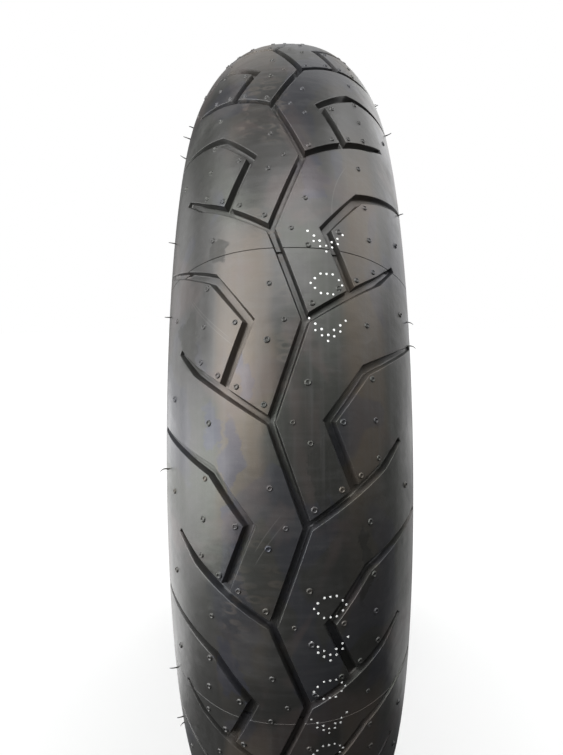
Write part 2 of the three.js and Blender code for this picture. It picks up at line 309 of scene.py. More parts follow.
def chain_rings(first_vertex, modules, mirror):
    """One side's land edge over several pitches, inset by each step of the groove section."""
    outline = land_outline()
    rows = []
    for module in range(modules):
        shift = (first_vertex + 2 * module) * HALF_PITCH
        rows.append(outline + [0, shift, 0])
    chain = np.concatenate(rows)
    points = chain[:, :2]
    steps = np.diff(points, axis=0)
    normals = np.stack([-steps[:, 1], steps[:, 0]], -1) / np.hypot(steps[:, 0], steps[:, 1])[:, None]
    first, second = normals[:-1], normals[1:]
    mitres = (first + second) / (1 + np.sum(first * second, 1))[:, None]
    points, shares = points[1:-1], chain[1:-1, 2]
    rings = []
    for inset, depth in GROOVE_SECTION:
        corners = points + mitres * inset
        ring = []
        for i in range(len(corners) - 1):
            pieces = max(1, math.ceil(np.hypot(*(points[i + 1] - points[i])) / EDGE_STEP))
            for piece in range(pieces):
                part = piece / pieces
                spot = corners[i] * (1 - part) + corners[i + 1] * part
                share = shares[i] * (1 - part) + shares[i + 1] * part
                ring.append((-spot[0] if mirror else spot[0], spot[1], depth * share))
        rings.append(np.array(ring))
    return rings


def inside_polygon(points, polygon):
    """Even-odd test of many points against one polygon."""
    inside = np.zeros(len(points), bool)
    ends = np.roll(polygon, -1, axis=0)
    for (x0, y0), (x1, y1) in zip(polygon, ends):
        crosses = (y0 > points[:, 1]) != (y1 > points[:, 1])
        if y0 != y1:
            inside ^= crosses & (points[:, 0] < (x1 - x0) * (points[:, 1] - y0) / (y1 - y0) + x0)
    return inside


def distance_to_line(points, line):
    nearest = np.full(len(points), np.inf)
    for start, end in zip(line[:-1], line[1:]):
        step = end - start
        part = np.clip(((points - start) @ step) / (step @ step), 0, 1)
        nearest = np.minimum(nearest, np.hypot(*(points - start - part[:, None] * step).T))
    return nearest


def tread_tile():
    """Flat half pitch of the tread: (arc, length round, -depth) points and triangles.

    Its zigzag vertex at the start is on the left, the one at the end on the right.
    """
    right = chain_rings(-5, 5, False)
    left = chain_rings(-6, 6, True)
    points, depths, edges = [], [], []
    sides = {0.0: {}, HALF_PITCH: {}}

    def add(x, y, depth):
        points.append(Vector((x, y)))
        depths.append(depth)
        for side, marks in sides.items():
            if abs(y - side) < ON_EDGE:
                marks[round(x, 6)] = len(points) - 1
        return len(points) - 1

    for rings in (right, left):
        for ring in rings:
            last = None
            for start, end in zip(ring[:-1], ring[1:]):
                rise = end[1] - start[1]
                low, high = 0.0, 1.0
                if abs(rise) < LEVEL:
                    if not 0 <= start[1] <= HALF_PITCH:
                        last = None
                        continue
                else:
                    parts = sorted(((0 - start[1]) / rise, (HALF_PITCH - start[1]) / rise))
                    low, high = max(low, parts[0]), min(high, parts[1])
                if low >= high:
                    last = None
                    continue
                a = start + (end - start) * low
                b = start + (end - start) * high
                for spot in (a, b):
                    for side in sides:
                        if abs(spot[1] - side) < SNAP:
                            spot[1] = side
                if last is None or low > 0:
                    last = add(*a)
                here = add(*b)
                edges.append((last, here))
                last = here if high == 1.0 else None

    def land_points(spots):
        """Those of the spots that lie on a land, clear of the grooves."""
        outside = 2 * EDGE_ARC
        keep = np.zeros(len(spots), bool)
        for rings, side in ((right, outside), (left, -outside)):
            edge = rings[0][:, :2]
            polygon = np.concatenate([edge, [[side, edge[-1, 1]], [side, edge[0, 1]]]])
            keep |= inside_polygon(spots, polygon)
            keep &= distance_to_line(spots, edge) > LAND_MARGIN
        return spots[keep]

    grid = []
    rows = round(HALF_PITCH / LAND_STEP)
    arcs = np.arange(-int(EDGE_ARC / LAND_STEP), int(EDGE_ARC / LAND_STEP) + 1) * LAND_STEP
    arcs = arcs[np.abs(arcs) < SHOULDER_ARCS[-1]]
    arcs = np.unique(np.concatenate([arcs, SHOULDER_ARCS, -SHOULDER_ARCS]))
    for row in range(1, rows):
        shift = 0.5 * LAND_STEP * (row % 2)
        for arc in arcs:
            grid.append((arc + (shift if abs(arc) < STAGGER_REACH else 0), HALF_PITCH * row / rows))
    for spot in land_points(np.array(grid)):
        add(spot[0], spot[1], 0)
    for side in sides:
        for spot in land_points(np.array([(arc, side) for arc in arcs])):
            add(spot[0], side, 0)
    for edge_arc in (-EDGE_ARC, EDGE_ARC):
        row = [add(edge_arc, HALF_PITCH * i / ROUND_STEPS, 0) for i in range(ROUND_STEPS + 1)]
        edges.extend(zip(row[:-1], row[1:]))
    for marks in sides.values():
        order = [marks[x] for x in sorted(marks)]
        edges.extend(zip(order[:-1], order[1:]))

    out_points, _, faces, origins, _, _ = delaunay_2d_cdt(points, edges, [], 0, SNAP)
    flat = []
    for point, origin in zip(out_points, origins):
        depth = max((depths[i] for i in origin), default=0.0)
        flat.append((point.x, point.y, -depth))
    return np.array(flat), [tuple(f) for f in faces]


def add_joint_line(flat, faces):
    """The tile with a mould joint: a fine line over the land and a slot in each groove's floor."""
    bm = bmesh.new()
    verts = [bm.verts.new(p) for p in flat]
    for face in faces:
        bm.faces.new([verts[i] for i in face])
    line = JOINT_PLACE * HALF_PITCH
    half = JOINT_LINE_HALF_WIDTH
    stops = (-JOINT_SLOT_WIDTH - JOINT_SLOT_DRAFT, -JOINT_SLOT_WIDTH, -half, 0, half)
    for stop in stops:
        bmesh.ops.bisect_plane(bm, geom=bm.verts[:] + bm.edges[:] + bm.faces[:], dist=1e-6,
                               plane_co=(0, line + stop, 0), plane_no=(0, 1, 0))
    in_groove = 0.6 * GROOVE_SECTION[-1][1]
    for vert in bm.verts:
        place = vert.co.y - line
        if abs(place) < CUT_MARGIN:
            vert.co.z -= JOINT_LINE_DEPTH
        elif -JOINT_SLOT_WIDTH - CUT_MARGIN < place < -half + CUT_MARGIN and vert.co.z < -in_groove:
            vert.co.z -= JOINT_SLOT_DEPTH
    bm.verts.index_update()
    flat = np.array([vert.co[:] for vert in bm.verts])
    faces = [tuple(vert.index for vert in face.verts) for face in bm.faces]
    bm.free()
    return flat, faces


def build_tread(material):
    plain = tread_tile()
    jointed = add_joint_line(*plain)
    vertices, faces, uv = [], [], []
    count = 0
    for tile in range(TILE_COUNT):
        flat, triangles = jointed if tile in JOINT_TILES else plain
        side = 1 if tile % 2 == 0 else -1
        position = tile + flat[:, 1] / HALF_PITCH
        arc = side * flat[:, 0]
        vertices.append(tread_points(position, arc, flat[:, 2]))
        wrap = np.stack([position * HALF_PITCH * MM, arc * MM], -1)
        for triangle in triangles:
            corners = triangle if side > 0 else triangle[::-1]
            faces.append([count + i for i in corners])
            uv.extend(wrap[i] for i in corners)
        count += len(flat)
    half = [(HALF_WIDTH, crown_height[-1]), (HALF_WIDTH - 0.6, CAP_FOOT[1] - 0.1), CAP_FOOT]
    half += casing_line(3.0, 2.9, CAP_EDGE_DEPTH, 2)
    half += casing_line(BELT_END, 0.0, CAP_DEPTH, 9)
    section = half + [(-across, radius) for across, radius in half[-2::-1]]
    positions = np.arange(TILE_COUNT * ROUND_STEPS) / ROUND_STEPS
    angles = pattern_angle(positions)
    around = len(angles)
    for across, radius in section:
        vertices.append(wheel_points(angles, np.full(around, across), np.full(around, radius)))
    for ring in range(len(section) - 1):
        for i in range(around):
            here, there = count + ring * around, count + (ring + 1) * around
            j = (i + 1) % around
            faces.append([here + i, here + j, there + j, there + i])
            for column, row in ((i, ring), (i + 1, ring), (i + 1, ring + 1), (i, ring + 1)):
                place = column / ROUND_STEPS * HALF_PITCH * MM
                uv.append((place, (EDGE_ARC + 8 * row) * MM))
    tread = new_object("tread", np.concatenate(vertices), faces, material, uv)
    merge_points(tread, smooth_degrees=41)
    tread.modifiers.new("even_normals", "WEIGHTED_NORMAL").keep_sharp = True
    return tread


# ---------------------------------------------------------------- shader helpers

class Value:
    """A node's output that works in formulas: each operator adds one Math node."""

    def __init__(self, shader, socket):
        self.shader = shader
        self.socket = socket

    def __add__(self, other):
        return self.shader.math("ADD", self, other)

    def __sub__(self, other):
        return self.shader.math("SUBTRACT", self, other)

    def __mul__(self, other):
        return self.shader.math("MULTIPLY", self, other)

    def __truediv__(self, other):
        return self.shader.math("DIVIDE", self, other)

    def __pow__(self, other):
        return self.shader.math("POWER", self, other)

    def __abs__(self):
        return self.shader.math("ABSOLUTE", self)


class Shader:
    """A material under construction: each method adds nodes and returns their output."""

    def __init__(self, name):
        self.material = bpy.data.materials.new(name)
        self.material.use_nodes = True
        self.tree = self.material.node_tree
        self.surface = self.tree.nodes["Principled BSDF"]
        self.place = self.add("ShaderNodeTexCoord", output="Object")
        self.wrap = self.add("ShaderNodeUVMap", uv_map="wrap")

    def add(self, kind, inputs=(), output=0, **settings):
        node = self.tree.nodes.new(kind)
        for key, value in settings.items():
            setattr(node, key, value)
        for key, value in dict(inputs).items():
            self.feed(node.inputs[key], value)
        return Value(self, node.outputs[output])

    def feed(self, socket, value):
        if isinstance(value, Value):
            self.tree.links.new(value.socket, socket)
        else:
            socket.default_value = value

    def math(self, operation, a, b=0.0):
        return self.add("ShaderNodeMath", {0: a, 1: b}, operation=operation)

    def highest(self, a, b):
        return self.math("MAXIMUM", a, b)

    def wave(self, value, length):
        return self.math("SINE", value * (2 * math.pi / length))

    def stretch(self, scale, shift=(0, 0, 0), source=None):
        return self.add("ShaderNodeMapping", {"Vector": source or self.place, "Scale": scale,
                                              "Location": shift})

    def noise(self, scale, detail=3.0, roughness=0.5, distortion=0.0, source=None):
        inputs = {"Vector": source or self.place, "Scale": scale, "Detail": detail,
                  "Roughness": roughness, "Distortion": distortion}
        return self.add("ShaderNodeTexNoise", inputs, "Fac")

    def speckle(self, scale, source):
        return self.add("ShaderNodeTexVoronoi", {"Vector": source, "Scale": scale}, "Distance")

    def span(self, value, low, high, start=0.0, end=1.0):
        """Maps low..high to start..end, clamped, with an eased slope."""
        inputs = {"Value": value, "From Min": low, "From Max": high, "To Min": start, "To Max": end}
        return self.add("ShaderNodeMapRange", inputs, interpolation_type="SMOOTHSTEP")

    def band(self, value, low, high, edge):
        """1 between low and high, falling to 0 over an edge."""
        return self.span(value, low - edge, low) * self.span(value, high, high + edge, 1.0, 0.0)

    def mix(self, share, a, b):
        a, b = (value if isinstance(value, Value) else (*value, 1) for value in (a, b))
        return self.add("ShaderNodeMix", {"Factor": share, 6: a, 7: b}, 2, data_type="RGBA")

    def bump(self, height, distance, strength=1.0, below=None):
        inputs = {"Height": height, "Distance": distance, "Strength": strength}
        if below:
            inputs["Normal"] = below
        return self.add("ShaderNodeBump", inputs)

    def grain(self, normal, scale, distance, strength):
        """Fine rubber grain over a coarser bump."""
        return self.bump(self.noise(scale, 2.0, 0.6), distance, strength, normal)

    def parts(self, vector):
        node = self.add("ShaderNodeSeparateXYZ", {0: vector}).socket.node
        return [Value(self, socket) for socket in node.outputs]

    def join(self, x, y, z):
        return self.add("ShaderNodeCombineXYZ", {0: x, 1: y, 2: z})

    def finish(self, colour, roughness, normal=None, **extra):
        self.feed(self.surface.inputs["Base Color"], colour)
        self.feed(self.surface.inputs["Roughness"], roughness)
        if normal:
            self.feed(self.surface.inputs["Normal"], normal)
        for key, value in extra.items():
            self.feed(self.surface.inputs[key.replace("_", " ")], value)
        return self.material


# ---------------------------------------------------------------- materials

# Marks on the tread in millimetres: middle (round the tyre from the first vertex, across), half sizes
BLUE_FILMS = (((164, -27), (19, 5)), ((178, -37), (12, 4)), ((200, -20), (10, 4)), ((132, -24), (14, 4)),
              ((300, 12), (16, 6)), ((62, -30), (18, 6)))
DARK_SMEARS = (((221, -51), (14, 9)), ((157, 14), (22, 4.5)), ((350, -12), (12, 7)), ((262, -33), (7, 5)),
               ((112, 36), (18, 4)))
BLOTCH_EDGE = 0.12
# Scuffs: middle, slope across the tread and half length
SCUFFS = (((226, -38), -1.0, 17), ((229, -39), -1.0, 13), ((128, -9), 0.7, 11), ((132, -10), 0.7, 9),
          ((291, 22), 0.2, 24))
SCUFF_BEND = 9.0
SCUFF_EDGES = (0.00035, 0.0001)
MOULD_LINE_PITCH = 0.0011
LINER_VENTS = 150


def blotch(s, around, along, marks):
    """1 inside any of the given ovals, whose outlines wander."""
    total = 0.0
    for (middle_around, middle_along), (half_around, half_along) in marks:
        off_around = (around - middle_around * MM) / (half_around * MM)
        off_along = (along - middle_along * MM) / (half_along * MM)
        reach = s.math("SQRT", off_around ** 2 + off_along ** 2)
        total = s.highest(total, s.span(reach, 1 + BLOTCH_EDGE, 1 - BLOTCH_EDGE))
    return total


def scuff_lines(s, around, along):
    """Thin pale scratches left by handling, each a little curved."""
    total = 0.0
    for (middle_around, middle_along), slope, half_length in SCUFFS:
        off_around = around - middle_around * MM
        miss = (along - middle_along * MM) - (off_around * slope + off_around ** 2 * SCUFF_BEND)
        line = s.span(abs(miss), *SCUFF_EDGES)
        reach = s.span(abs(off_around), half_length * MM, 0.6 * half_length * MM)
        total = s.highest(total, line * reach)
    return total


def tread_material():
    """New rubber with mould-release films, brushed lines across the tread, scuffs and dust.

    The films tint the sheen as well as the rubber.
    """
    s = Shader("tread_rubber")
    around, raw_along, _ = s.parts(s.wrap)
    wander = (s.noise(60.0, 4.0, 0.6) - 0.5) * 0.030
    film_around = around + wander
    film_along = raw_along - wander
    along = raw_along + (s.noise(22.0) - 0.5) * 0.022
    patchy = s.span(s.noise(8.0, 2.0), 0.36, 0.56)
    warm = (s.band(along, -0.030, -0.011, 0.006) + s.band(along, 0.030, 0.042, 0.009)) * patchy
    lobes = s.span(s.noise(17.0, 2.5, 0.5, 0.5, s.stretch((1.0, 1.7, 1.0), (3.1, 0, 0))), 0.545, 0.575)
    blue = s.highest(lobes * 0.6, blotch(s, film_around, film_along, BLUE_FILMS))
    froth = s.band(s.speckle(150.0, s.stretch((1.0, 0.7, 1.6))), 0.30, 0.42, 0.10)
    froth = froth * s.band(along, -0.024, -0.003, 0.005) * s.span(s.noise(13.0), 0.48, 0.58)
    rosy = s.span(s.noise(15.0, 3.0, 0.6, 0.9, s.stretch((1, 1.3, 1), (0, 7.7, 1.2))), 0.52, 0.62)
    green = s.span(s.noise(11.0, 3.0, 0.6, 0.5, s.stretch((1, 1, 1), (9, 3, 4))), 0.46, 0.62)
    dull = s.span(s.noise(26.0, 5.0, 0.7, 0.4, s.stretch((1, 0.6, 1), (5, 2, 9))), 0.50, 0.72)
    dark = blotch(s, film_around, film_along, DARK_SMEARS)
    streak_place = s.join(raw_along * 240.0, around * 7.0, 0.0)
    streaks = s.span(s.noise(1.0, 3.0, 0.6, 0.0, streak_place), 0.45, 0.75) * patchy
    brushed = s.span(s.noise(1.0, 3.0, 0.65, 0.0, s.stretch((300, 16, 300))), 0.42, 0.75)
    scratches = s.span(s.speckle(1.0, s.stretch((60, 6, 60))), 0.03, 0.0) * s.span(s.noise(30.0), 0.5, 0.65)
    scratches = s.highest(scratches, scuff_lines(s, around, raw_along) * 0.5)
    dust = s.span(s.noise(900.0, 2.0, 0.8), 0.62, 0.80)

    colour = s.mix(s.noise(9.0, 4.0, 0.6), (0.0105, 0.0107, 0.0101), (0.021, 0.0208, 0.0196))
    tint = s.mix(green * 0.8, (1.0, 0.99, 0.98), (0.86, 0.92, 0.80))
    for share, weight, stain, sheen in (
        (warm, 0.70, (0.052, 0.043, 0.034), (1.0, 0.86, 0.72)),
        (blue, 0.65, (0.021, 0.022, 0.029), (0.64, 0.67, 0.86)),
        (rosy, 0.45, (0.040, 0.032, 0.030), (1.0, 0.87, 0.84)),
        (dull, 0.35, (0.044, 0.044, 0.042), (0.84, 0.84, 0.82)),
        (froth, 0.30, (0.064, 0.053, 0.044), (1.0, 0.92, 0.84)),
        (dark, 0.75, (0.012, 0.012, 0.011), (0.50, 0.50, 0.47)),
        (streaks, 0.35, (0.050, 0.050, 0.050), (0.92, 0.90, 0.88)),
        (brushed, 0.16, (0.052, 0.052, 0.053), (1.0, 1.0, 1.0)),
        (scratches, 0.55, (0.100, 0.098, 0.094), (1.0, 1.0, 1.0)),
        (dust, 0.12, (0.120, 0.115, 0.105), (1.0, 1.0, 1.0)),
    ):
        amount = share * weight
        colour = s.mix(amount, colour, stain)
        tint = s.mix(amount, tint, sheen)
    roughness = s.noise(18.0, 4.0, 0.65) * 0.14 + 0.30
    for share, change in ((dull, 0.10), (blue, -0.06), (dark, 0.12), (froth, 0.06), (warm, 0.03)):
        roughness = roughness + share * change
    ripple = s.noise(1.0, 2.0, 0.5, 0.0, s.stretch((200, 18, 200)))
    normal = s.bump(s.noise(60.0), 0.0012, 0.30, s.bump(ripple, 0.00022, 0.45))
    normal = s.grain(normal, 1600.0, 0.00005, 0.5)
    return s.finish(colour, roughness, normal, Specular_IOR_Level=0.55, Specular_Tint=tint)


def side_material():
    """Smoother sidewall rubber with a band of fine radial ridges, painted darker as their shade, and one of
    concentric mould lines.
    """
    s = Shader("sidewall_rubber")
    around, down, _ = s.parts(s.wrap)
    colour = s.mix(s.noise(10.0, 4.0, 0.6), (0.015, 0.015, 0.0155), (0.028, 0.0275, 0.027))
    brown = s.span(s.noise(17.0, 3.0, 0.6, 0.8), 0.56, 0.68)
    colour = s.mix(brown * 0.5, colour, (0.036, 0.029, 0.025))
    smear = s.span(s.noise(1.0, 4.0, 0.6, 0.0, s.stretch((14, 90, 1), source=s.wrap)), 0.52, 0.75)
    colour = s.mix(smear * 0.35, colour, (0.055, 0.055, 0.056))
    ribbed_and_shaded = s.band(down, RIDGE_BAND[0] * MM, RIDGE_BAND[1] * MM, 0.0004)
    # Painted shade: the ridge band is darkened here, and its specular level lowered below, to stand in for
    # the shade between the ridges.
    colour = s.mix(ribbed_and_shaded * 0.6, colour, (0.008, 0.008, 0.008))
    dust = s.span(s.noise(800.0, 2.0, 0.8), 0.62, 0.8)
    colour = s.mix(dust * 0.15, colour, (0.12, 0.115, 0.105))
    ridges = s.wave(around, SIDE_WRAP_LENGTH / SIDE_RIDGES) * ribbed_and_shaded
    lines = s.wave(down, MOULD_LINE_PITCH) * s.band(down, LINE_BAND[0] * MM, LINE_BAND[1] * MM, 0.0005)
    normal = s.bump(lines, 0.00012, 0.8, s.bump(ridges, 0.0005, 1.0))
    normal = s.grain(normal, 1500.0, 0.00005, 0.6)
    roughness = s.noise(25.0, 4.0, 0.6) * 0.2 + 0.32 + ribbed_and_shaded * 0.2
    # The lower specular level on the ridge band is painted shade as well.
    return s.finish(colour, roughness, normal, Specular_IOR_Level=s.span(ribbed_and_shaded, 0.0, 1.0, 0.5, 0.22))


def liner_material():
    """Air-tight inner rubber with the curing bladder's slanting vent lines and a dusty lubricant film."""
    s = Shader("liner_rubber")
    around, along, _ = s.parts(s.wrap)
    colour = s.mix(s.noise(14.0, 4.0, 0.6), (0.016, 0.016, 0.017), (0.032, 0.031, 0.030))
    film = s.span(s.noise(1.0, 5.0, 0.65, 0.5, s.stretch((30, 12, 1), source=s.wrap)), 0.50, 0.72)
    colour = s.mix(film * 0.45, colour, (0.085, 0.084, 0.080))
    vents = s.span(s.wave(around + along * 0.45, SIDE_WRAP_LENGTH / LINER_VENTS), 0.90, 1.0)
    normal = s.bump(s.noise(90.0, 3.0, 0.6), 0.0008, 0.5, s.bump(vents, 0.0005, 0.8))
    normal = s.grain(normal, 1200.0, 0.00006, 0.5)
    return s.finish(colour, film * 0.25 + 0.42, normal)


def cord_material(name, dark, light, pitch, slant, tint):
    """Rubber-coated cords lying side by side at a slant to the circumference."""
    s = Shader(name)
    around, along, _ = s.parts(s.wrap)
    cords = s.wave(around * math.sin(slant) + along * math.cos(slant), pitch)
    share = s.span(cords, -0.6, 0.9)
    stain = s.span(s.noise(22.0, 4.0, 0.6), 0.4, 0.7)
    colour = s.mix(stain * 0.5, s.mix(share, dark, light), tint)
    normal = s.grain(s.bump(share, 0.0003, 0.9), 1100.0, 0.00006, 0.6)
    return s.finish(colour, s.noise(60.0) * 0.25 + 0.5, normal)


def fabric_material(name, dark, light, pitch, depth):
    """Woven fabric soaked in rubber: warp and weft crossing over and under."""
    s = Shader(name)
    around, along, _ = s.parts(s.wrap)
    warp = s.wave(around, pitch)
    weft = s.wave(along, pitch)
    height = warp * weft * 0.5 + s.highest(abs(warp), abs(weft))
    worn = s.span(s.noise(35.0, 4.0, 0.65), 0.45, 0.7)
    colour = s.mix(s.span(height, 0.3, 1.4), dark, light)
    colour = s.mix(worn * 0.4, colour, tuple(0.6 * c + 0.02 for c in light))
    normal = s.grain(s.bump(height, depth, 0.8), 1300.0, 0.00005, 0.6)
    return s.finish(colour, worn * 0.2 + 0.5, normal)


def plain_rubber_material(name, dark, light, rough):
    """Calendered rubber strip with roller lines, bloom and small pits."""
    s = Shader(name)
    colour = s.mix(s.noise(16.0, 4.0, 0.6), dark, light)
    bloom = s.span(s.noise(1.0, 4.0, 0.6, 0.0, s.stretch((20, 160, 1), source=s.wrap)), 0.5, 0.75)
    colour = s.mix(bloom * 0.4, colour, tuple(c * 1.8 for c in light))
    roller = s.noise(1.0, 3.0, 0.6, 0.0, s.stretch((30, 1400, 1), source=s.wrap))
    normal = s.grain(s.bump(roller, 0.0002, 0.5), 1400.0, 0.00006, 0.6)
    return s.finish(colour, bloom * 0.15 + rough, normal)


def wire_material():
    """Bronze-coated bead wire with rubber left between the turns."""
    s = Shader("bead_wire")
    grime = s.span(s.noise(45.0, 4.0, 0.65), 0.4, 0.65)
    colour = s.mix(grime, (0.42, 0.27, 0.14), (0.09, 0.07, 0.055))
    lines = s.noise(1.0, 3.0, 0.6, 0.0, s.stretch((25, 4000, 1), source=s.wrap))
    metal = s.span(grime, 0.0, 1.0, 0.95, 0.25)
    return s.finish(colour, s.span(lines, 0.2, 0.8, 0.28, 0.5), s.bump(lines, 0.0001, 0.5), Metallic=metal)


def paint_material():
    """Thin white marking paint, a little worn so that rubber shows through."""
    s = Shader("marking_paint")
    worn = s.span(s.noise(1300.0, 3.0, 0.7), 0.52, 0.68)
    tone = s.mix(s.noise(120.0), (0.62, 0.63, 0.62), (0.85, 0.86, 0.85))
    colour = s.mix(worn * 0.7, tone, (0.12, 0.12, 0.12))
    return s.finish(colour, s.span(worn, 0.0, 1.0, 0.45, 0.7), s.bump(s.noise(2500.0), 0.00004, 0.5))


# ---------------------------------------------------------------- rings

RING_SEGMENTS = 252
SIDE_REFERENCE_RADIUS = 250.0
SIDE_WRAP_LENGTH = 2 * math.pi * SIDE_REFERENCE_RADIUS * MM
MITRE_STEPS = 3
CORNER_REACH = 0.25


def eased(profile, reach):
    """The closed profile with its corners rounded; reach is the distance each curve starts from."""
    points = np.array(profile, float)
    result = []
    for i, corner in enumerate(points):
        before, after = points[i - 1], points[(i + 1) % len(points)]
        room = [min(reach, 0.4 * np.hypot(*(end - corner))) for end in (before, after)]
        start = corner + (before - corner) * room[0] / np.hypot(*(before - corner))
        stop = corner + (after - corner) * room[1] / np.hypot(*(after - corner))
        for t in np.linspace(0, 1, MITRE_STEPS + 1):
            result.append((1 - t) ** 2 * start + 2 * t * (1 - t) * corner + t ** 2 * stop)
    return result


def ring_mesh(profile, segments=RING_SEGMENTS):
    """Vertices, faces and wrap coordinates of a ring turned from a closed (across, radius) profile."""
    points = np.array(profile, float)
    following = np.roll(points, -1, axis=0)
    if np.sum(points[:, 0] * following[:, 1] - following[:, 0] * points[:, 1]) < 0:
        points = points[::-1]
    count = len(points)
    closed = np.concatenate([points, points[:1]])
    along = np.concatenate([[0], np.cumsum(np.hypot(*np.diff(closed, axis=0).T))])
    angles = np.linspace(0, 2 * math.pi, segments, endpoint=False)
    grid_angle, grid_across = np.meshgrid(angles, points[:, 0], indexing="ij")
    _, grid_radius = np.meshgrid(angles, points[:, 1], indexing="ij")
    vertices = wheel_points(grid_angle.ravel(), grid_across.ravel(), grid_radius.ravel())
    faces, uv = [], []
    step = SIDE_WRAP_LENGTH / segments
    for i in range(segments):
        j = (i + 1) % segments
        for k in range(count):
            m = (k + 1) % count
            faces.append((i * count + k, i * count + m, j * count + m, j * count + k))
            uv += [(i * step, along[k] * MM), (i * step, along[k + 1] * MM),
                   ((i + 1) * step, along[k + 1] * MM), ((i + 1) * step, along[k] * MM)]
    return vertices, faces, uv


def declare(piece, slot, *nodes):
    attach(piece, "root")
    if nodes:
        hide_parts(*nodes)
    return piece


def add_ring(name, profile, slot, material, reach=CORNER_REACH):
    vertices, faces, uv = ring_mesh(eased(profile, reach))
    return declare(new_object(name, vertices, faces, material, uv), slot, name)


def add_ring_pair(name, profile, slot, material, reach=CORNER_REACH):
    for side, label in ((1, "right"), (-1, "left")):
        add_ring(f"{name}_{label}", [(side * across, radius) for across, radius in profile],
                 slot, material, reach)


def layer_profile(end, depth, thickness, count):
    inner = casing_line(-end, end, depth, count)
    return inner + casing_line(end, -end, depth + thickness, count)


# ---------------------------------------------------------------- sidewalls

SIDE_LINE = ((60.0, 255.85), (59.92, 253.4), (59.55, 250.6), (58.6, 247.3), (57.0, 244.0),
             (54.7, 240.6), (52.0, 237.7), (49.6, 235.3), (47.3, 233.0), (45.0, 230.7))
SIDE_TOE = ((44.0, 230.55), (45.6, 233.9), (48.35, 236.9))
SIDE_CURVE_STEPS = 14
SIDE_ROWS = 96
# Raised rings round the sidewall: distance down from the tread's edge, half width and height
SIDE_RIBS = ((1.4, 0.5, 0.5), (5.0, 0.7, 0.7), (16.6, 0.7, 0.7), (23.6, 1.1, 1.1), (26.6, 0.4, 0.45))
RIB_REACH = 1.6
RIDGE_BAND = (5.6, 15.6)
LINE_BAND = (17.6, 22.4)
SIDE_RIDGES = 540
# Raised panels: middle and half width in degrees, upper and lower edge down the side, steps round
PANELS = [(middle, 34.0, 6.6, 14.8, 110) for middle in (35.0, 215.0)]
PANELS += [(middle, 12.0, 7.6, 13.8, 48) for middle in (95.0, 155.0, 275.0, 335.0)]
PANEL_HEIGHT = 0.7
MARK_FOOT = -0.1
# Corners of the arrow and of the wear mark: length round, distance down the side
ARROW = [*((x, 9.5) for x in (-13, -9, -5, -1, 3)), (3, 7.6), (13, 10.6), (3, 13.6),
         *((x, 11.7) for x in (3, -1, -5, -9, -13))]
ARROW_MIDDLES = (125.0, 305.0)
WEAR_TRIANGLE = [(-2.4, 4.0), (2.4, 4.0), (0, 1.9)]
WEAR_MARKS = 6


def side_curve():
    """Outer line of the right sidewall as a smooth curve of (across, radius) points."""
    points = np.array(SIDE_LINE)
    padded = np.concatenate([[2 * points[0] - points[1]], points, [2 * points[-1] - points[-2]]])
    curve = []
    for i in range(len(points) - 1):
        a, b, c, d = padded[i:i + 4]
        for t in np.arange(SIDE_CURVE_STEPS) / SIDE_CURVE_STEPS:
            curve.append(0.5 * (2 * b + (c - a) * t + (2 * a - 5 * b + 4 * c - d) * t ** 2
                                + (3 * b - a - 3 * c + d) * t ** 3))
    return np.array(curve + [points[-1]])


side_points_line = side_curve()
side_arcs = np.concatenate([[0], np.cumsum(np.hypot(*np.diff(side_points_line, axis=0).T))])
side_steps = np.gradient(side_points_line, side_arcs, axis=0)


def side_section(arc, height):
    """Distance across and radius at an arc down the right sidewall and a height over it."""
    across, radius, run, fall = (np.interp(arc, side_arcs, column) for column in
                                 (*side_points_line.T, *side_steps.T))
    return across - height * fall, radius + height * run


def side_rib_height(arc):
    height = np.zeros_like(arc)
    for centre, half_width, rise in SIDE_RIBS:
        near = np.clip(RIB_REACH - np.abs(arc - centre) / half_width, 0, 1)
        height = height + rise * near ** 2 * (3 - 2 * near)
    return height


def add_sidewall(side, label, material):
    arcs = np.linspace(0, side_arcs[-1], SIDE_ROWS)
    across, radius = side_section(arcs, side_rib_height(arcs))
    outer = list(zip(np.minimum(across, HALF_WIDTH), radius))
    inner = [*SIDE_TOE, *casing_line(4.45, 3.22, BELT_DEPTH, 9)]
    profile = [(side * a, r) for a, r in outer + inner]
    if side < 0:
        profile = profile[::-1]
        profile = profile[-len(outer):] + profile[:-len(outer)]
    vertices, faces, uv = ring_mesh(profile, 2 * RING_SEGMENTS)
    piece = new_object(f"sidewall_{label}", vertices, faces, material, uv)
    return declare(piece, "sidewall_rubber", f"sidewall_{label}")


def side_vertices(side, degrees, arc, height):
    """Points in metres on one sidewall."""
    across, radius = side_section(np.asarray(arc, float), np.asarray(height, float))
    return wheel_points(np.radians(degrees), side * across, radius)


def side_panel(side, middle, half_degrees, top, bottom, columns, edge=0.35, rows=6):
    """Raised patch between two angles and two arcs; returns its vertices and faces."""
    edge_degrees = math.degrees(edge / SIDE_REFERENCE_RADIUS)
    spans = [-half_degrees, *np.linspace(edge_degrees - half_degrees, half_degrees - edge_degrees,
                                         columns), half_degrees]
    levels = [top, *np.linspace(top + edge, bottom - edge, rows), bottom]
    vertices = []
    for i, span in enumerate(spans):
        for j, level in enumerate(levels):
            rim = i in (0, len(spans) - 1) or j in (0, len(levels) - 1)
            height = MARK_FOOT if rim else PANEL_HEIGHT
            vertices.append(side_vertices(side, middle + span, level, height))
    faces = []
    wide = len(levels)
    for i in range(len(spans) - 1):
        for j in range(wide - 1):
            face = (i * wide + j, i * wide + j + 1, (i + 1) * wide + j + 1, (i + 1) * wide + j)
            faces.append(face if side < 0 else face[::-1])
    return vertices, faces


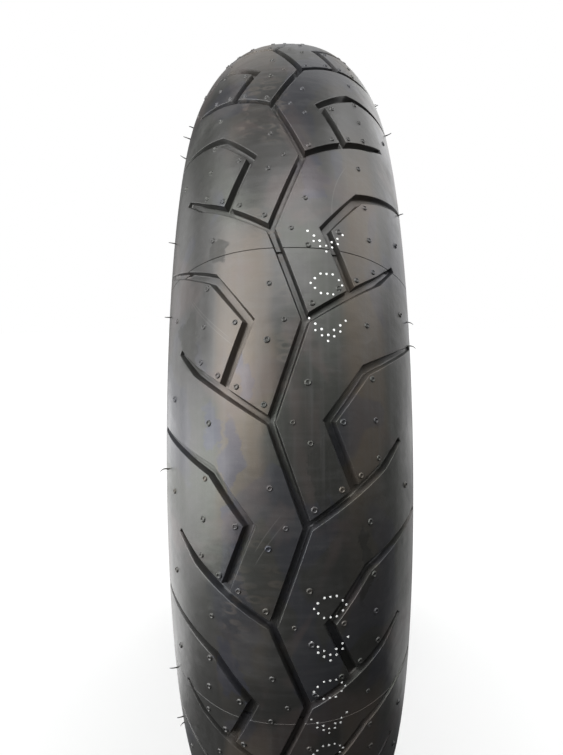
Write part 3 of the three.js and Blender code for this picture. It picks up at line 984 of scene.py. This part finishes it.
def side_outline(side, middle, outline, height, edge=0.3):
    """Raised flat shape; outline is a loop of (length round, arc) corners about the middle angle."""
    corners = np.array(outline, float)
    centre = corners.mean(0)
    reach = np.hypot(*(corners - centre).T).max()
    vertices = []
    for scale, level in ((1.0, MARK_FOOT), (1 - edge / reach, height)):
        for x, arc in centre + (corners - centre) * scale:
            degrees = middle + math.degrees(x / SIDE_REFERENCE_RADIUS)
            vertices.append(side_vertices(side, degrees, arc, level))
    count = len(corners)
    faces = [(i, (i + 1) % count, count + (i + 1) % count, count + i) for i in range(count)]
    faces.append(tuple(range(count, 2 * count)))
    return vertices, [face if side > 0 else face[::-1] for face in faces]


class MeshPile:
    """Several small meshes gathered into one piece."""

    def __init__(self):
        self.vertices, self.faces = [], []

    def add(self, vertices, faces):
        start = len(self.vertices)
        self.vertices += [tuple(v) for v in vertices]
        self.faces += [tuple(start + i for i in face) for face in faces]

    def build(self, name, material, slot, smooth_degrees=40):
        uv = [(self.vertices[i][0], self.vertices[i][2]) for face in self.faces for i in face]
        piece = new_object(name, self.vertices, self.faces, material, uv, smooth_degrees)
        return declare(piece, slot)


def add_side_marks(side, label, material):
    """Blank panels, turning arrows and wear-mark triangles, all without lettering."""
    pile = MeshPile()
    for middle, half_degrees, top, bottom, columns in PANELS:
        pile.add(*side_panel(side, middle, half_degrees, top, bottom, columns))
    for middle in ARROW_MIDDLES:
        pile.add(*side_outline(side, middle, ARROW, 0.8))
    for mark in range(WEAR_MARKS):
        pile.add(*side_outline(side, 20 + mark * 360 / WEAR_MARKS, WEAR_TRIANGLE, 0.5))
    return pile.build(f"side_marks_{label}", material, "sidewall_rubber", 25)


# ---------------------------------------------------------------- bead

# Outlines on the right side, as (distance across, radius)
TURN_UP = [(40.8, 220.5), (40.8, 227.5), (44.4, 234.2), (47.2, 237.9),
           (47.8, 237.2), (45.2, 233.8), (41.7, 227.2), (41.7, 219.6)]
WRAP_OUTLINE = ((34.62, 227.0), (34.11, 220.8), (40.5, 220.8), (40.5, 227.0), (40.0, 227.0),
                (40.0, 221.3), (34.65, 221.3), (35.1, 227.0))
FILLER_OUTLINE = ((35.7, 226.5), (39.7, 226.5), (44.0, 234.3), (43.3, 235.0), (35.9, 227.6))
CHAFER_OUTLINE = ((31.4, 217.5), (41.9, 218.3), (42.8, 219.2), (42.8, 227.0), (42.0, 227.0),
                  (42.0, 219.7), (41.5, 219.2), (31.6, 218.4))
RIM_STRIP_OUTLINE = ((43.1, 218.9), (44.45, 220.6), (44.45, 230.2), (43.9, 230.2), (43.1, 228.4))
INNER_PLY_OUTER_FOOT = 6.88
INNER_PLY_INNER_FOOT = 6.99
CORE_LEFT, CORE_RIGHT, CORE_BOTTOM, CORE_TOP = 35.0, 39.7, 221.6, 226.2
CORE_WIRES = 4
WIRE_STEPS = (0.0, 0.15, 0.4, 0.6, 0.85)
WIRE_BULGE = 0.32


def wire_bundle_outline():
    """Square bundle of wires: each wire on the outside shows as a round bump."""
    step_across = (CORE_RIGHT - CORE_LEFT) / CORE_WIRES
    step_up = (CORE_TOP - CORE_BOTTOM) / CORE_WIRES
    sides = (((CORE_LEFT, CORE_BOTTOM), (step_across, 0), (0, 1)),
             ((CORE_RIGHT, CORE_BOTTOM), (0, step_up), (-1, 0)),
             ((CORE_RIGHT, CORE_TOP), (-step_across, 0), (0, -1)),
             ((CORE_LEFT, CORE_TOP), (0, -step_up), (1, 0)))
    outline = []
    for corner, step, inward in sides:
        for wire in range(CORE_WIRES):
            for part in WIRE_STEPS:
                dent = WIRE_BULGE * (1 - math.sqrt(max(0.0, 1 - (2 * part - 1) ** 2)))
                outline.append([c + s * (wire + part) + i * dent
                                for c, s, i in zip(corner, step, inward)])
    return outline


# ---------------------------------------------------------------- vents, spew hairs and paint

# Vent nubs beside each side groove, in half pitches ahead of its vertex and arc from the centre line
VENTS = ((0.17, 10.6), (0.35, 22.9), (0.476, 32.3), (0.635, 42.5), (1.0, 23.8), (1.02, 41.0),
         (1.44, 39.5), (2.0, 37.2), (0.29, 64.5), (1.23, 64.5), (0.8, 9.2), (1.38, 8.3))
NUB_PROFILE = ((1.4, -0.05), (1.22, 0.08), (1.08, 0.40), (0.88, 0.48), (0.66, 0.36), (0.5, 0.16))
NUB_SIDES = 12
# Stretch of tread, in degrees, whose hairs are placed one by one, and their places on each side
HAIR_PATCH = (-32.0, 62.0)
LONG_HAIRS = ((-1, (57.2, 53.5, 48.3, 33.6, 24.3, 7.9, -15.5, -23.8, -25.0)),
              (1, (53.6, 37.3, 23.5, 20.8)))
LONG_HAIR_ARC = 74.0
HAIR_PLACES = (0.1, 0.62, 1.1, 1.6)
HAIR_ARCS = (70, 78)
HAIR_STEPS = 7
HAIR_SIDES = 6
HAIR_THICKNESS = 0.34
MISSING_HAIRS = 0.45
SHOULDER_VENT_ARC = 60
MISSING_SHOULDER_VENTS = 0.35


def stack_faces(rings, sides, turned):
    """Faces between stacked rings of points, and one over the last ring; turned reverses them."""
    faces = []
    for low in range(0, (rings - 1) * sides, sides):
        for i in range(sides):
            near, far = i, (i + 1) % sides
            if turned:
                near, far = far, near
            faces.append((low + near, low + far, low + sides + far, low + sides + near))
    cap = range((rings - 1) * sides, rings * sides)
    return faces + [tuple(reversed(cap) if turned else cap)]


def add_stud(pile, angle, arc, profile, sides):
    """A small round stud on the tread; profile holds (reach, height) from its foot to its top."""
    vertices = []
    for reach, height in profile:
        for i in range(sides):
            turn = 2 * math.pi * i / sides
            across, radius = crown_section(arc + reach * math.cos(turn), height)
            vertices.append(wheel_points(angle + reach * math.sin(turn) / radius, across, radius))
    pile.add(vertices, stack_faces(len(profile), sides, True))


def add_nub(pile, angle, arc, size):
    """A cut-off vent stub standing on the tread with a small collar."""
    add_stud(pile, angle, arc, [(reach * size, height * size) for reach, height in NUB_PROFILE], NUB_SIDES)


def add_hair(pile, angle, arc, length, lean, curl):
    """A thin rubber hair left by a vent: it stands off the tread, leans and curls."""
    across, radius = crown_section(arc, 0.0)
    start = Vector(wheel_points(angle, across, radius)) / MM
    top_across, top_radius = crown_section(arc, 1.0)
    out = Vector(wheel_points(angle, top_across, top_radius)) / MM - start
    round_way = Vector((-math.sin(angle), 0, math.cos(angle)))
    side_way = out.cross(round_way)
    spine = [start - out * 0.3]
    heading = (out + round_way * lean).normalized()
    for step in range(HAIR_STEPS):
        heading = (heading + round_way * curl * step / HAIR_STEPS + side_way * 0.1 * curl).normalized()
        spine.append(spine[-1] + heading * length / HAIR_STEPS)
    vertices = []
    for i, point in enumerate(spine):
        size = HAIR_THICKNESS * (1.15 - 0.6 * i / HAIR_STEPS)
        for k in range(HAIR_SIDES):
            turn = 2 * math.pi * k / HAIR_SIDES
            vertices.append((point + (round_way * math.cos(turn) + side_way * math.sin(turn)) * size) * MM)
    pile.add(vertices, stack_faces(len(spine), HAIR_SIDES, False))


def add_vents(material):
    nubs, hairs = MeshPile(), MeshPile()
    draw = random.Random(17)
    for vertex in range(TILE_COUNT):
        side = -1 if vertex % 2 == 0 else 1
        add_nub(nubs, float(pattern_angle(vertex)), side * -1.7, 0.9)
        for ahead, arc in VENTS:
            angle = float(pattern_angle(vertex + ahead))
            if arc > SHOULDER_VENT_ARC and draw.random() < MISSING_SHOULDER_VENTS:
                continue
            add_nub(nubs, angle, side * arc, draw.uniform(0.95, 1.2))
        for ahead in HAIR_PLACES:
            angle = float(pattern_angle(vertex + ahead + draw.uniform(-0.05, 0.05)))
            turned = (math.degrees(angle) + 180) % 360 - 180
            if draw.random() < MISSING_HAIRS or HAIR_PATCH[0] < turned < HAIR_PATCH[1]:
                continue
            arc = side * draw.uniform(*HAIR_ARCS)
            add_hair(hairs, angle, arc, draw.uniform(1.2, 5.5), draw.uniform(-0.5, 0.5),
                     draw.uniform(-0.5, 0.5))
    for side, angles in LONG_HAIRS:
        for degrees in angles:
            add_hair(hairs, math.radians(degrees), side * LONG_HAIR_ARC, draw.uniform(3.2, 5.0),
                     draw.uniform(-0.3, 0.3), draw.uniform(-0.5, 0.3))
    nubs.build("vent_nubs", material, "tread_rubber")
    hairs.build("spew_hairs", material, "tread_rubber")


DOT_SPACING = 2.8
DOT_RADIUS = 0.53
DOT_LIFT = 0.04
DOT_SIDES = 14
MARK_ARC = 17.5
# Painted dot marks: angle round the tyre and shape
UPPER_MARKS = ((28.5, "chevron"), (24.4, "hexagon"), (20.3, "chevron"))
LOWER_MARKS = ((-2.9, "hexagon"), (-6.9, "chevron"), (-10.9, "hexagon"), (-14.9, "chevron"),
               (-18.4, "hexagon"))
MARK_SHAPES = {
    "chevron": [(abs(k) - 1, k) for k in range(-3, 4)] + [(abs(k) - 2.2, k) for k in range(-2, 3)],
    "hexagon": [(-2, -1), (-2, 0), (-2, 1), (2, -1), (2, 0), (2, 1), (-1, 2), (0, 2.6), (1, 2),
                (-1, -2), (0, -2.6), (1, -2)],
}


def add_paint(material):
    """Dots of marking paint in chevrons and hexagons."""
    pile = MeshPile()
    draw = random.Random(5)
    for degrees, shape in UPPER_MARKS + LOWER_MARKS:
        for row, column in MARK_SHAPES[shape]:
            arc = MARK_ARC + column * DOT_SPACING + draw.uniform(-0.12, 0.12)
            radius = crown_section(arc, 0.0)[1]
            angle = math.radians(degrees) + (row * DOT_SPACING * 0.85 + draw.uniform(-0.1, 0.1)) / radius
            size = DOT_RADIUS * draw.uniform(0.88, 1.1)
            dome = ((size, -0.02), (size * 0.93, DOT_LIFT), (size * 0.5, DOT_LIFT * 1.3))
            add_stud(pile, angle, arc, dome, DOT_SIDES)
    pile.build("paint_dots", material, "tread_rubber")


# ---------------------------------------------------------------- stage

CAMERA_DISTANCE = 583.6
CAMERA_ELEVATION = math.radians(12.0)
CAMERA_SIDE_STEP = 1.55
CAMERA_PITCH = math.radians(4.42)
CAMERA_YAW = math.radians(-0.91)
CAMERA_ROLL = math.radians(-0.40)
FOCAL_SHARE = 669 / 755
SENSOR = 36.0


def add_camera():
    """The camera stands off the tread on +X, a little above the axle, and looks a little above it."""
    data = bpy.data.cameras.new("camera")
    data.sensor_width = SENSOR
    data.lens = FOCAL_SHARE * SENSOR
    data.clip_start = 0.01
    camera = bpy.data.objects.new("camera", data)
    bpy.context.scene.collection.objects.link(camera)
    forward = Vector((-math.cos(CAMERA_PITCH) * math.cos(CAMERA_YAW),
                      math.cos(CAMERA_PITCH) * math.sin(CAMERA_YAW),
                      math.sin(CAMERA_PITCH)))
    right = forward.cross(Vector((0, 0, 1))).normalized()
    up = right.cross(forward)
    turned_right = math.cos(CAMERA_ROLL) * right + math.sin(CAMERA_ROLL) * up
    turned_up = math.cos(CAMERA_ROLL) * up - math.sin(CAMERA_ROLL) * right
    axes = Matrix((turned_right, turned_up, -forward)).transposed().to_4x4()
    place = Matrix.Translation(Vector((CAMERA_DISTANCE, CAMERA_SIDE_STEP, 0)) * MM)
    camera.matrix_world = Matrix.Rotation(-CAMERA_ELEVATION, 4, "Y") @ place @ axes
    bpy.context.scene.camera = camera


FLOOR_HALF_SIZE = 6.0
FLOOR_SUN = 3.8
FLOOR_SUN_ANGLE = math.radians(70)
AMBIENT = 0.05
# Soft lights round the tyre: name, place and square side in metres, power in watts
STUDIO_LIGHTS = (
    ("left_high", (1.0, -1.0, 1.0), 1.4, 37.0),
    ("left_window", (1.0, -1.25, 0.3), 1.0, 9.0),
    ("left_near", (1.5, -0.7, 0.35), 0.8, 5.0),
    ("left_low", (0.2, -1.4, -0.1), 0.8, 10.0),
    ("left_low_front", (0.8, -1.2, -0.15), 0.6, 5.5),
    ("left_floor_glow", (-0.8, -1.1, -0.55), 1.0, 7.5),
    ("left_top", (0.1, -1.2, 1.2), 0.9, 5.0),
    ("back_left", (-0.8, -1.35, 0.3), 1.0, 4.0),
    ("top_front", (0.9, 0.1, 1.4), 0.9, 15.0),
    ("right_front", (1.1, 0.75, 1.1), 0.9, 5.0),
    ("right_top", (0.1, 1.2, 1.2), 1.4, 16.0),
    ("right_side", (-0.5, 1.5, 0.5), 1.8, 3.5),
    ("right_floor_glow", (-0.8, 1.1, -0.6), 1.0, 2.6),
    ("back_right", (-1.4, 1.1, 0.4), 1.6, 9.0),
    ("back_top", (-1.3, 0.3, 1.2), 1.8, 7.0),
)
LIGHT_TARGET = (0.1, 0.0, 0.0)


def add_floor():
    """Pale floor under the tyre, lit from straight above so that it fades into the background."""
    s = Shader("floor")
    tone = s.mix(s.noise(3.0), (0.90, 0.905, 0.90), (0.93, 0.93, 0.93))
    material = s.finish(tone, 0.7, Specular_IOR_Level=0.1)
    level = cad_box[0][2]
    corners = [(x * FLOOR_HALF_SIZE, y * FLOOR_HALF_SIZE, level)
               for x, y in ((-1, -1), (1, -1), (1, 1), (-1, 1))]
    floor = new_object("floor", corners, [(0, 1, 2, 3)], material)
    floor.visible_diffuse = False
    floor.visible_glossy = False
    floor.visible_shadow = False
    return floor


def add_light(name, kind, place, target, power):
    data = bpy.data.lights.new(name, kind)
    data.energy = power
    light = bpy.data.objects.new(name, data)
    light.location = place
    light.rotation_euler = (Vector(target) - Vector(place)).to_track_quat("-Z", "Y").to_euler()
    light.visible_camera = False
    bpy.context.scene.collection.objects.link(light)
    return light


def add_world():
    """A white backdrop for the camera that gives the tyre only a weak ambient light."""
    world = bpy.data.worlds.new("studio")
    bpy.context.scene.world = world
    world.use_nodes = True
    tree = world.node_tree
    background = tree.nodes["Background"]
    background.inputs["Color"].default_value = (1.0, 1.0, 1.0, 1)
    rays = tree.nodes.new("ShaderNodeLightPath")
    strength = tree.nodes.new("ShaderNodeMapRange")
    strength.inputs["To Min"].default_value = AMBIENT
    tree.links.new(rays.outputs["Is Camera Ray"], strength.inputs["Value"])
    tree.links.new(strength.outputs[0], background.inputs["Strength"])


def add_lights(floor):
    """Each studio light reaches the tyre only, and one wide sun whitens the floor."""
    tyre = bpy.data.collections.new("lit_by_studio")
    for piece in bpy.data.objects:
        if piece.type == "MESH" and piece != floor:
            tyre.objects.link(piece)
    ground = bpy.data.collections.new("lit_by_sun")
    ground.objects.link(floor)
    for name, place, size, power in STUDIO_LIGHTS:
        light = add_light(name, "AREA", place, LIGHT_TARGET, power)
        light.data.size = size
        light.light_linking.receiver_collection = tyre
    sun = add_light("floor_sun", "SUN", (0, 0, 3), (0, 0, 0), FLOOR_SUN)
    sun.data.angle = FLOOR_SUN_ANGLE
    sun.light_linking.receiver_collection = ground


# ---------------------------------------------------------------- build

add_camera()
add_world()
floor = add_floor()
bpy.context.scene.view_settings.view_transform = "Standard"

tread_rubber = tread_material()
side_rubber = side_material()
panel_rubber, under_rubber, filler_rubber, strip_rubber = (
    plain_rubber_material(name, dark, light, rough) for name, dark, light, rough in (
        ("sidewall_panel_rubber", (0.022, 0.022, 0.0225), (0.038, 0.038, 0.0375), 0.25),
        ("under_tread_rubber", (0.018, 0.018, 0.019), (0.03, 0.03, 0.03), 0.5),
        ("filler_rubber", (0.012, 0.012, 0.013), (0.022, 0.022, 0.022), 0.4),
        ("rim_strip_rubber", (0.014, 0.014, 0.0145), (0.025, 0.025, 0.026), 0.38)))
belt_cord = cord_material("belt_cord", (0.03, 0.028, 0.026), (0.30, 0.22, 0.13), 0.0012, 0.0,
                          (0.05, 0.045, 0.04))
carcass_cord = cord_material("carcass_cord", (0.022, 0.020, 0.018), (0.14, 0.10, 0.065), 0.0011,
                             math.radians(88), (0.04, 0.034, 0.028))
chafer_fabric = fabric_material("chafer_fabric", (0.014, 0.014, 0.014), (0.045, 0.043, 0.040),
                                0.0011, 0.0002)
wrap_fabric = fabric_material("wrap_fabric", (0.03, 0.027, 0.022), (0.12, 0.105, 0.08), 0.0009, 0.0002)

declare(build_tread(tread_rubber), "tread_rubber", "tread_cap")
add_ring("tread_base", layer_profile(BELT_END, BASE_DEPTH, TREAD_BASE, 21), "under_tread_rubber",
         under_rubber)
add_ring("zero_degree_belt", layer_profile(BELT_END, BELT_DEPTH, BELT, 21), "belt_cord", belt_cord)
wedge = casing_line(2.52, 2.95, BELT_DEPTH, 4)
wedge += casing_line(2.95, 2.95, BELT_DEPTH + 0.6, 1) + casing_line(2.52, 2.52, BELT_DEPTH + 2.0, 1)
add_ring_pair("belt_edge_wedge", wedge, "under_tread_rubber", under_rubber)
add_ring("outer_carcass_ply", layer_profile(OUTER_PLY_END, OUTER_PLY_DEPTH, PLY, 61), "carcass_cord",
         carcass_cord)
inner_ply = casing_line(-INNER_PLY_OUTER_FOOT, INNER_PLY_OUTER_FOOT, INNER_PLY_DEPTH + PLY, 61)
inner_ply += TURN_UP
inner_ply += casing_line(INNER_PLY_INNER_FOOT, -INNER_PLY_INNER_FOOT, INNER_PLY_DEPTH, 61)
inner_ply += [(-across, radius) for across, radius in reversed(TURN_UP)]
add_ring("inner_carcass_ply", inner_ply, "carcass_cord", carcass_cord, 0.2)
add_ring("inner_liner", layer_profile(7.0, 0.0, LINER, 81), "liner_rubber", liner_material())

bead_wire = wire_material()
for side, label in ((1, "right"), (-1, "left")):
    vertices, faces, uv = ring_mesh([(side * a, r) for a, r in wire_bundle_outline()])
    core = new_object(f"bead_core_{label}", vertices, faces, bead_wire, uv, 80)
    declare(core, "bead_steel", f"bead_core_{label}")
add_ring_pair("bead_wrap", WRAP_OUTLINE, "wrap_fabric", wrap_fabric, 0.2)
add_ring_pair("bead_filler", FILLER_OUTLINE, "filler_rubber", filler_rubber)
add_ring_pair("chafer", CHAFER_OUTLINE, "chafer_fabric", chafer_fabric)
add_ring_pair("rim_strip", RIM_STRIP_OUTLINE, "rim_strip_rubber", strip_rubber)
for side, label in ((1, "right"), (-1, "left")):
    add_sidewall(side, label, side_rubber)
    add_side_marks(side, label, panel_rubber)
add_vents(tread_rubber)
add_paint(paint_material())
add_lights(floor)
